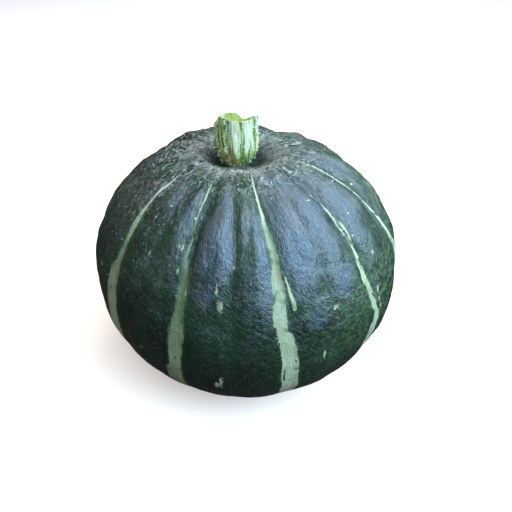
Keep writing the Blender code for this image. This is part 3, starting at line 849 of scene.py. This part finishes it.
# %% [markdown]
# ## Specks and scuffs
#
# Tiny cork specks sit on the skin, most of them on the dusty shoulder. A Voronoi texture scatters one
# point per cell. Keeping only some cells, and only what is very near the point, leaves round specks.
# Read on a stretched grain the same spots become scuffs that run along the fruit, coarse and fine ones.


# %% White specks, scuffs and the finished colour
def dots(vector, scale, chance, rim, core):
    """Round spots, one in each kept cell. Stretching the vector draws them out into streaks."""
    cells = rind.tree.nodes.new("ShaderNodeTexVoronoi")
    rind.connect(cells.inputs["Vector"], vector)
    rind.connect(cells.inputs["Scale"], scale)
    kept = rind.sum("LESS_THAN", rind.parts(cells.outputs["Color"])[0], chance)
    return rind.times(rind.fade(cells.outputs["Distance"], rim, core), kept)


drawn_out = rind.stretch(grain, (1, 1, 0.22))
scuff_place = rind.add("ShaderNodeVectorMath", {0: drawn_out, 1: wobble}, operation="ADD")
fine_place = rind.stretch(scuff_place, (2.1, 2.1, 2.4))
coarse_scuff = dots(scuff_place, 0.42, rind.times(scuff_here, 0.55), 0.17, 0.09)
fine_scuff = dots(fine_place, 0.42, rind.times(scuff_here, 0.65), 0.24, 0.1)
scuff_share = rind.times(rind.larger(coarse_scuff, rind.times(fine_scuff, 0.5)), 0.8)
rind.coat(scuff_share, (0.42, 0.37, 0.28))
speck = dots(skin_place, 0.36, rind.times_plus(scuff_here, 0.16, 0.006), 0.145, 0.08)
big_speck = rind.fade(rind.times_plus(tooth, 0.9, white_hill), 0.46, 0.56)
rind.coat(rind.larger(speck, big_speck), (0.58, 0.58, 0.48))
rind.set("Base Color", rind.colour)
print("rind colour:", len(rind.tree.nodes), "nodes")

# %% [markdown]
# ## The rind's gloss and grain
#
# The rind is waxy, so it mirrors a window softly, and a fine leathery grain breaks the mirror into small
# dashes. Pale skin, dust, folds and the moat mirror less, as does the crown. The grain is longer along
# the fruit than across it on the shoulder, and turns crossways lower down. Where dust lies it is rough.

# %% Gloss
gloss = rind.fade(rind.cloud(grain, 0.12, 3), 0.25, 0.75, 0.22, 0.3)
cork_or_scar = rind.larger(cork_share, scar_zone)
for dull_thing, weight in ((dust_and_rim_light_share, 0.3), (pale_share, 0.16), (cork_or_scar, 0.3)):
    gloss = rind.times_plus(dull_thing, weight, gloss)
rind.set("Roughness", gloss)
matt = rind.larger(dust_and_rim_light_share, rind.larger(moat_painted_shade, fold_painted_shade))
matt = rind.larger(rind.times(pale_share, 0.9), matt)
mirror = rind.times(rind.fade(matt, 0, 1, 0.7, 0.25), rind.fade(film, 0, 1, 0.45, 1))
mirror = rind.times(mirror, rind.fade(bare, 0, 1, 1, 0.45))
mirror = rind.times(mirror, rind.fade(from_stem_mm, 48, 26, 1, 0.65))
rind.set("Specular IOR Level", mirror)
print("gloss done:", len(rind.tree.nodes), "nodes")

# %% Grain
lengthways = rind.cloud(rind.stretch(grain, (1, 1, 0.45)), 0.55, 3, 0.62, 0.6)
x_mm, y_mm, z_mm = rind.parts(skin_place)
down_slope = rind.times(rind.sum("SUBTRACT", x_mm, z_mm), 0.3)
up_slope = rind.times(rind.sum("ADD", x_mm, z_mm), 0.71)
crossways = rind.cloud(rind.place(down_slope, y_mm, up_slope), 0.6, 3, 0.62, 0.8)
turned = rind.fade(along_mm, 80, 130)
leather = rind.times_plus(lengthways, rind.sum("SUBTRACT", 1, turned), rind.times(crossways, turned))
creases = rind.sum("ABSOLUTE", rind.centred(rind.cloud(grain, 0.34, 2, 0.55, 1)))
soft_lumps = rind.cloud(grain, 0.2, 2)
rough_skin = rind.cloud(skin_place, 0.62, 4, 0.68)
roughness = rind.fade(dust_and_rim_light_zone, 0.1, 0.7, 0.15, 2)
grain_height = rind.times(leather, 0.95)
layers = ((creases, 0.8), (soft_lumps, 0.4), (rough_skin, roughness), (fibre_share, 0.25))
for layer, weight in layers:
    grain_height = rind.times_plus(layer, weight, grain_height)
grain_height = rind.times(grain_height, rind.fade(pale_share, 0, 1, 1, 0.5))
rind.set("Normal", rind.bump(grain_height, MM))
print("rind finish:", len(rind.tree.nodes), "nodes")

# %% [markdown]
# ## From mesh to piece
#
# Each piece is made in the same way: its mesh gets its finish and an object that sits at the origin.


# %% Dress the fruit
def add_piece(data, finish):
    """Puts a mesh in the scene under its own name and prints how many triangles it has."""
    data.materials.append(finish.material)
    piece = bpy.data.objects.new(data.name, data)
    bpy.context.scene.collection.objects.link(piece)
    print(data.name, "triangles:", sum(len(face.vertices) - 2 for face in data.polygons))
    return piece


rind_data.shade_smooth()
rind_piece = add_piece(rind_data, rind)
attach(rind_piece, "root")
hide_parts("fruit")

# %% [markdown]
# ## The stem
#
# A kabocha's stem is a corky stalk, narrow where it meets the fruit and fullest above the middle, with
# broad ribs and narrow grooves. It was cut with one slanting stroke: the rim stands higher at the front
# and rises and dips on its way round, one flap of skin is torn up at the side, and the pith has sunk a
# little. It starts as a cylinder that is cut into rings and has its top inset in steps, and each point
# is moved to where its height and its way round put it.

# %% The stem's measurements
STEM_GAP, STEM_SINK, STEM_HEIGHT = 0.0003, 0.0012, 0.0242
STEM_FOOT, STEM_BELLY, STEM_TOP = 0.0088, 0.0120, 0.0117
STEM_BELLY_AT, STEM_LEAN = 0.52, -0.0006
CUT_SLOPE, CUT_HOLLOW = (0.01, -0.21), 0.0018
# Rises and dips of the rim: compass angle and half width in degrees, then the height.
RIM_FEATURES = (
    (226, 20, 0.0022), (288, 14, -0.0006), (58, 20, -0.0048), (92, 18, 0.0010), (125, 26, 0.0006),
)
STEM_RIBS, RIB_PHASE, RIB_DEPTH = 10, 11.0, 0.00050
EAR_ANGLE, EAR_HALF_WIDTH, EAR_RISE, EAR_REACH = 352.0, 20.0, 0.0005, 0.0012
BACK_ANGLE, BACK_HALF_WIDTH, BACK_SHOULDER = 180.0, 48.0, 0.0042
STRIATION_HEIGHT, KNOB_HEIGHT, RIM_WAVE, PITH_GRAIN = 0.00016, 0.00022, 0.00035, 0.0003
seat_middle = AXIS + STEM_OFFSET * (SEAT_LEVEL / BASE_DROP) ** 2
stem_at = Vector((*seat_middle, SEAT_LEVEL + EQUATOR_HEIGHT + STEM_GAP))
print("stem stands at", [round(value, 4) for value in stem_at])


# %% Height and girth of the stem
def stem_girth(share):
    if share < STEM_BELLY_AT:
        swell = math.sin(0.5 * math.pi * max(0.0, share) / STEM_BELLY_AT)
        return STEM_FOOT + (STEM_BELLY - STEM_FOOT) * swell
    return STEM_BELLY + (STEM_TOP - STEM_BELLY) * float(soft_step(share, STEM_BELLY_AT, 1.0))


def rib_wave(compass_angle):
    """1 on the broad back of a rib, 0 in the narrow groove between two."""
    wave = 0.5 + 0.5 * math.cos(math.radians(STEM_RIBS * (compass_angle - RIB_PHASE)))
    return wave**0.55


def stem_point(compass_angle, share, inward=1.0):
    """A point of the stem over its seat. inward goes from 1 at the skin to 0 at the middle."""
    turn = math.radians(compass_angle)
    way = Vector((math.cos(turn), math.sin(turn)))
    low_down = float(soft_step(share, 0.0, 0.15))
    ribs = RIB_DEPTH * (2.0 * rib_wave(compass_angle) - 1.2) * low_down
    striations = noise.noise(Vector((way.x * 9.0, way.y * 9.0, share * 1.4))) * low_down
    knobs = noise.noise(Vector((way.x * 4.0, way.y * 4.0, share * 7.0)))
    uneven_skin = STRIATION_HEIGHT * striations + KNOB_HEIGHT * knobs
    at_ear = float(bell(away_from(compass_angle, EAR_ANGLE), EAR_HALF_WIDTH))
    ear = EAR_REACH * at_ear * float(soft_step(share, 0.78, 1.0))
    at_back = float(bell(away_from(compass_angle, BACK_ANGLE), BACK_HALF_WIDTH))
    shoulder = BACK_SHOULDER * (at_back * float(soft_step(share, 0.80, 1.04))) ** 2
    girth = (stem_girth(share) + ribs + uneven_skin - shoulder + ear) * inward
    rim = EAR_RISE * at_ear + RIM_WAVE * noise.noise(Vector((way.x * 6.0, way.y * 6.0, 3.0)))
    for centre, half_width_of_it, rise in RIM_FEATURES:
        rim += rise * float(bell(away_from(compass_angle, centre), half_width_of_it))
    flat = way * girth
    top = STEM_HEIGHT + CUT_SLOPE[0] * flat.x + CUT_SLOPE[1] * flat.y + rim * inward**4
    sunk = CUT_HOLLOW * (1.0 - float(soft_step(inward, 0.50, 0.95))) if share == 1.0 else 0.0
    if inward < 1.0:
        sunk -= PITH_GRAIN * noise.noise(Vector((flat.x * 400.0, flat.y * 400.0, 8.0)))
    return Vector((STEM_LEAN * share + flat.x, flat.y, share * (top + STEM_SINK) - STEM_SINK - sunk))


print("stem girth half way up:", round(2.0 * stem_girth(0.5) / MM, 1), "mm")

# %% Make the stem
STEM_SIDES, STEM_RINGS = 240, 52
CUT_INSETS = (0.03, 0.04, 0.07, 0.10, 0.14, 0.18, 0.18)


def top_cap(mesh):
    """Of the highest faces, the one with the most corners: the middle of the cut."""
    return max(mesh.faces, key=lambda face: (round(face.calc_center_median().z, 3), len(face.verts)))


stem_shape = bmesh.new()
bmesh.ops.create_cone(stem_shape, cap_ends=True, segments=STEM_SIDES, radius1=1.0, radius2=1.0, depth=1.0)
upright = [edge for edge in stem_shape.edges if abs(edge.verts[0].co.z - edge.verts[1].co.z) > 0.5]
bmesh.ops.subdivide_edges(stem_shape, edges=upright, cuts=STEM_RINGS - 1)
for inset in CUT_INSETS:
    bmesh.ops.inset_region(stem_shape, faces=[top_cap(stem_shape)], thickness=inset, use_even_offset=True)
bmesh.ops.poke(stem_shape, faces=[top_cap(stem_shape)])
stem_fields = []
for vertex in stem_shape.verts:
    turn = math.degrees(math.atan2(vertex.co.y, vertex.co.x)) % 360.0
    share = round((vertex.co.z + 0.5) * STEM_RINGS) / STEM_RINGS
    inward = min(1.0, vertex.co.to_2d().length)
    vertex.co = stem_at + stem_point(turn, share, inward)
    stem_fields.append((turn, share, inward))
bmesh.ops.recalc_face_normals(stem_shape, faces=stem_shape.faces)
stem_data = mesh_data(stem_shape, "stalk")
print("the stem has", len(stem_fields), "points")

# %% [markdown]
# ## Where the stem's colours lie
#
# As on the rind, the finish reads fields from the points. Each pale band starts part of the way up and
# widens; the two broad bands in front are partly painted highlight. Seen from the front, the skin's
# colours run on over the two sides of the cut, and the fresh cut shows in the middle of it, so the field
# for the cut is 1 there and 0 towards the left and right rim.

# %% Fields on the stem
stem_turn, stem_share, stem_inward = (np.array(column) for column in zip(*stem_fields))
turn_radians = np.radians(stem_turn)
on_top = stem_inward < 0.999
beside = stem_inward * np.cos(turn_radians)
ahead = np.where(on_top, -np.sqrt(1.0 - beside**2), np.sin(turn_radians))
upwards = stem_share * STEM_HEIGHT + on_top * (1.0 - stem_inward) * 0.008
around_stem = STEM_BELLY / MM
store_field(stem_data, "stalk_place", (around_stem * beside, around_stem * ahead, upwards / MM))
cut = soft_step(beside, -0.54, -0.46) * (1.0 - soft_step(beside, 0.30, 0.42))
cut = on_top * np.maximum(cut, 1.0 - soft_step(stem_inward, 0.62, 0.72))
rust = bell(away_from(stem_turn, 250.0), 19.0) * bell(stem_share - 0.14, 0.20)
store_field(stem_data, "cut_fields", (cut, stem_inward, rust))
print("share of the points on the cut:", round(float(cut.mean()), 2))

# %% Pale bands
# Foot angle, drift on the way up, half width and widening in degrees, start up the stem, strength.
# The rows at 271 and 298.5 degrees are partly pale ribs and partly painted highlight.
PALE_BANDS_AND_HIGHLIGHTS = (
    (271, -8, 2.6, 8, 0.20, 1.1), (298.5, -1, 3.5, 7.5, 0.32, 1.1), (246, 0, 2, 1.5, 0.45, 0.5),
    (318, 0, 2.5, 3.5, 0.30, 0.9), (338, 0, 4, 5, 0.35, 0.8), (12, 0, 4, 5, 0.3, 0.6),
    (48, 0, 5, 5, 0.3, 0.6), (84, 0, 4, 6, 0.2, 0.7), (121, 0, 4, 5, 0.3, 0.5), (156, 0, 3, 3, 0.4, 0.3),
    (193, 0, 3, 2, 0.4, 0.25),
)
pale_band_and_highlight = np.zeros(len(stem_turn))
for foot_angle, drift_up, foot_half_width, widening, starts, strength in PALE_BANDS_AND_HIGHLIGHTS:
    band_half = foot_half_width + widening * soft_step(stem_share, 0.15, 0.80)
    off_band = np.abs(away_from(stem_turn, foot_angle + drift_up * stem_share)) / band_half
    one = 1.0 - soft_step(off_band, 0.2, 1.7)
    one *= strength * soft_step(stem_share, starts - 0.06, starts + 0.10)
    pale_band_and_highlight = np.maximum(pale_band_and_highlight, one)
store_field(stem_data, "bands", (pale_band_and_highlight, stem_share, bell(away_from(stem_turn, 200.0), 60.0)))
print(len(PALE_BANDS_AND_HIGHLIGHTS), "pale bands")

# %% [markdown]
# ## The stem's finish
#
# The stalk is fresh green with fine threads of yellow green and pale freckles, and it has long pale
# bands; the two broad ones in front are partly painted highlight. Its left side gets painted shade. Its
# foot is darker, with a rusty patch, and the cut is a yellow green with a paler edge.

# %% Green skin
stalk = Finish("stalk_finish")
band_and_highlight_here, height_share, shade_side = stalk.parts(stalk.field("bands"))
cut_share, inward_share, rust_zone = stalk.parts(stalk.field("cut_fields"))
stalk_place = stalk.field("stalk_place")
thread = stalk.cloud(stalk.stretch(stalk_place, (1, 1, 0.1)), 0.95, 4, 0.68, 0.3)
blotch = stalk.cloud(stalk_place, 0.45, 4, 0.65)
# Painted shade: on the side round 200 degrees the deep green is painted darker.
deep = stalk.blend(shade_side, tint(0.055, 0.125, 0.018), tint(0.048, 0.1, 0.014))
bright = stalk.blend(shade_side, tint(0.45, 0.47, 0.19), tint(0.46, 0.49, 0.17))
stalk.colour = stalk.blend(stalk.fade(thread, 0.45, 0.57), deep, bright)
freckle = stalk.fade(stalk.cloud(stalk_place, 1.2, 3, 0.7), 0.56, 0.66, 0, 0.5)
stalk.coat(freckle, (0.4, 0.48, 0.17))
low_down = stalk.fade(stalk.times_plus(blotch, 0.3, height_share), 0.52, 0.26)
foot_thread = stalk.fade(thread, 0.45, 0.62)
foot_green = stalk.blend(foot_thread, tint(0.03, 0.064, 0.003), tint(0.16, 0.215, 0.014))
stalk.coat(stalk.times(low_down, 0.85), foot_green)
print("green skin:", len(stalk.tree.nodes), "nodes")

# %% Bands, rust and the cut
vein = stalk.cloud(stalk.stretch(stalk_place, (1, 1, 0.16)), 1.1, 3, 0.65)
ragged_band_and_highlight = stalk.times_plus(stalk.centred(vein), 2.2, band_and_highlight_here)
ragged_band_and_highlight = stalk.times_plus(stalk.centred(blotch), 0.8, ragged_band_and_highlight)
vein_share = stalk.fade(vein, 0.38, 0.62)
# Partly painted highlight: the broad front bands take this pale colour.
band_and_highlight_colour = stalk.blend(vein_share, tint(0.4, 0.405, 0.21), tint(0.65, 0.59, 0.44))
stalk.coat(stalk.fade(ragged_band_and_highlight, 0.35, 1.05), band_and_highlight_colour)
rust_share = stalk.times(rust_zone, stalk.fade(vein, 0.3, 0.52))
stalk.coat(rust_share, (0.36, 0.225, 0.07))
to_skin = stalk.fade(inward_share, 0.35, 0.75)
pith_grain = stalk.fade(stalk.cloud(stalk_place, 0.9, 3, 0.6), 0.45, 0.65, 0, 0.6)
cut_edge = stalk.fade(inward_share, 0.92, 0.98)
cut_colour = stalk.blend(to_skin, tint(0.2, 0.215, 0.03), tint(0.09, 0.13, 0.01))
cut_colour = stalk.blend(pith_grain, cut_colour, tint(0.22, 0.235, 0.03))
cut_colour = stalk.blend(cut_edge, cut_colour, tint(0.4, 0.42, 0.13))
stalk.coat(cut_share, cut_colour)
stalk.set("Base Color", stalk.colour)
stalk.set("Roughness", stalk.fade(blotch, 0.3, 0.7, 0.4, 0.55))
thread_height = stalk.times(thread, 0.3)
skin_height = stalk.times_plus(stalk.cloud(stalk_place, 1.6, 3), 0.12, thread_height)
stalk.set("Normal", stalk.bump(skin_height, MM))
print("stalk finish:", len(stalk.tree.nodes), "nodes")

# %% Dress the stem
stem_data.shade_smooth()
stem_data.set_sharp_from_angle(angle=math.radians(48.0))
stem_piece = add_piece(stem_data, stalk)
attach(stem_piece, "root")
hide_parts("stem")

# %% [markdown]
# ## Hairs on the stem
#
# Short stiff hairs stand in rows along the grooves and stray over the ribs. There are a few hundred, so
# each is only a thin four-sided cone with its root in the skin. The golden angle spreads them evenly
# with no two rows alike.

# %% Make the hairs
HAIRS, HAIRS_FROM, HAIRS_OVER = 480, 0.04, 0.93
HAIR_ROOT, HAIR_STRAY = 0.4 * MM, 6.5
GOLDEN_ANGLE = 180.0 * (3.0 - math.sqrt(5.0))
hair_draw = random.Random(11)
hairs = bmesh.new()
for index in range(HAIRS):
    share = HAIRS_FROM + HAIRS_OVER * (index + 0.5) / HAIRS
    groove = round(index * GOLDEN_ANGLE * STEM_RIBS / 360.0) * 360.0 / STEM_RIBS
    turn = groove + RIB_PHASE + 180.0 / STEM_RIBS + hair_draw.gauss(0.0, HAIR_STRAY)
    root = stem_at + stem_point(turn, share)
    away = Vector((math.cos(math.radians(turn)), math.sin(math.radians(turn)), 0.0))
    lean = Vector([hair_draw.uniform(low, high) for low, high in ((-0.5, 0.5), (-0.5, 0.5), (-0.3, 0.7))])
    way = (away + 0.8 * lean).normalized()
    length = hair_draw.uniform(0.5, 1.3) * MM
    thick = hair_draw.uniform(0.15, 0.26) * MM
    made = bmesh.ops.create_cone(
        hairs, cap_ends=True, segments=4, radius1=thick, radius2=0.25 * thick, depth=length + HAIR_ROOT
    )
    turn_to = way.to_track_quat("Z", "X").to_matrix().to_4x4()
    place = Matrix.Translation(root + way * 0.5 * (length - HAIR_ROOT)) @ turn_to
    bmesh.ops.transform(hairs, matrix=place, verts=made["verts"])
hair_data = mesh_data(hairs, "stalk_hairs")
print(HAIRS, "hairs")

# %% Hair finish
hair_finish = Finish("hair_finish")
hair_cloud = hair_finish.cloud(hair_finish.add("ShaderNodeTexCoord", {}, "Object"), 900, 1)
hair_share = hair_finish.fade(hair_cloud, 0.35, 0.65)
hair_colour = hair_finish.blend(hair_share, tint(0.62, 0.68, 0.4), tint(0.88, 0.9, 0.76))
hair_finish.set("Base Color", hair_colour)
hair_finish.set("Roughness", 0.45)
hair_piece = add_piece(hair_data, hair_finish)
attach(hair_piece, "root")

# %% [markdown]
# ## Floor and light
#
# The fruit stands on a plain pale floor. Under the fruit its colour is painted warmer than far off, which
# is
# painted light: it cancels the blue of the lights in the fruit's shadow. It glows faintly, so that it stays
# nearly white, and it is hidden from the fruit's own shading. The main lights are two large soft windows at
# the front and right, bluish as from an open sky. A paler one stands behind, a weak one overhead, a weak
# one on the left, and two low ones stand in for light that the floor would throw up.

# %% Pale floor
floor_shape = bmesh.new()
bmesh.ops.create_grid(floor_shape, x_segments=8, y_segments=8, size=3)
floor_finish = Finish("floor_finish")
floor_place = floor_finish.add("ShaderNodeTexCoord", {}, "Object")
from_middle = floor_finish.add("ShaderNodeVectorMath", {0: floor_place}, "Value", operation="LENGTH")
# Painted light: warmer under the fruit, to cancel the lights' blue in its shadow.
far_share = floor_finish.fade(from_middle, 0.3, 1.2)
floor_colour = floor_finish.blend(far_share, tint(0.92, 0.675, 0.51), tint(0.92, 0.8, 0.74))
floor_finish.set("Base Color", floor_colour)
floor_finish.set("Roughness", 0.9)
floor_finish.set("Emission Color", tint(1, 1, 1))
floor_finish.set("Emission Strength", 0.3)
floor = add_piece(mesh_data(floor_shape, "pale_floor"), floor_finish)
floor.visible_diffuse = False
floor.visible_glossy = False
floor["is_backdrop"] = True

# %% Sky
middle = Vector((AXIS[0], AXIS[1], EQUATOR_HEIGHT))
world = bpy.data.worlds.new("studio")
world.use_nodes = True
sky = world.node_tree
sky_way = sky.nodes.new("ShaderNodeTexCoord")
sky_height = sky.nodes.new("ShaderNodeSeparateXYZ")
sky_ramp = sky.nodes.new("ShaderNodeMapRange")
for name, value in {"From Min": -0.1, "From Max": 0.15, "To Min": 0.05, "To Max": 0.40}.items():
    sky_ramp.inputs[name].default_value = value
sky.links.new(sky_way.outputs["Generated"], sky_height.inputs[0])
sky.links.new(sky_height.outputs["Z"], sky_ramp.inputs["Value"])
sky.links.new(sky_ramp.outputs[0], sky.nodes["Background"].inputs["Strength"])
sky.nodes["Background"].inputs["Color"].default_value = tint(1.0, 1.0, 1.0)
bpy.context.scene.world = world
print("sky nodes:", len(sky.nodes))


# %% Soft lights
def compass_way(compass_angle, elevation):
    turn, up = math.radians(compass_angle), math.radians(elevation)
    return Vector((math.cos(turn) * math.cos(up), math.sin(turn) * math.cos(up), math.sin(up)))


def soft_box(name, compass_angle, elevation, away, size, brightness, colour):
    """A rectangular soft light that faces the fruit. brightness is the same for any size."""
    lamp = bpy.data.lights.new(name, "AREA")
    lamp.shape = "RECTANGLE"
    lamp.size, lamp.size_y = size
    lamp.energy = brightness * math.pi * size[0] * size[1]
    lamp.color = colour
    stand = bpy.data.objects.new(name, lamp)
    way = compass_way(compass_angle, elevation)
    stand.location = middle + way * away
    stand.rotation_euler = (-way).to_track_quat("-Z", "Y").to_euler()
    bpy.context.scene.collection.objects.link(stand)


soft_box("window", 295, 45, 0.8, (0.75, 0.78), 5.6, (0.37, 0.65, 1))
soft_box("wide_window", 345, 36, 0.8, (0.95, 1.00), 5, (0.37, 0.64, 1))
soft_box("back_sky", 40, 52, 0.8, (0.95, 0.85), 4.2, (0.74, 0.9, 1))
soft_box("overhead", 250, 84, 0.8, (0.7, 0.6), 1.6, (0.7, 0.87, 1))
soft_box("left_fill", 185, 50, 1.00, (1.00, 0.7), 0.75, (0.62, 0.85, 1))
soft_box("low_bounce", 335, 13, 0.9, (0.95, 0.36), 2.7, (0.75, 0.82, 1))
soft_box("low_back", 30, 14, 0.9, (0.95, 0.36), 1.7, (0.6, 0.85, 1))

# %% [markdown]
# ## Camera
#
# The camera looks down on the shoulder from about twice the fruit's width away, rolled a little. A small
# shift of the lens sets the fruit up and to the left in the picture.

# %% Camera
LOOK_DOWN, LOOK_ROLL, LOOK_FROM = 34.6, 1.3, 4.0 * RADIUS
camera = bpy.data.cameras.new("camera")
camera.lens = 41.1
camera.sensor_width = 36.0
camera.shift_x, camera.shift_y = 0.0383, -0.0115
camera.clip_start = 0.01
camera_stand = bpy.data.objects.new("camera", camera)
camera_way = compass_way(270.0, LOOK_DOWN)
aim = (-camera_way).to_track_quat("-Z", "Y").to_matrix().to_4x4()
roll = Matrix.Rotation(math.radians(-LOOK_ROLL), 4, "Z")
camera_stand.matrix_world = Matrix.Translation(middle + camera_way * LOOK_FROM) @ aim @ roll
bpy.context.scene.collection.objects.link(camera_stand)
bpy.context.scene.camera = camera_stand
bpy.context.scene.view_settings.view_transform = "Standard"
print("camera", round(LOOK_FROM, 2), "m from the fruit's middle")

# %% Write the sizes and close
seen_low, seen_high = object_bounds()
print("sizes in mm, plain then dressed:")
for low, high in ((cad_low, cad_high), (seen_low, seen_high)):
    print([round((b - a) / MM, 1) for a, b in zip(low, high)])
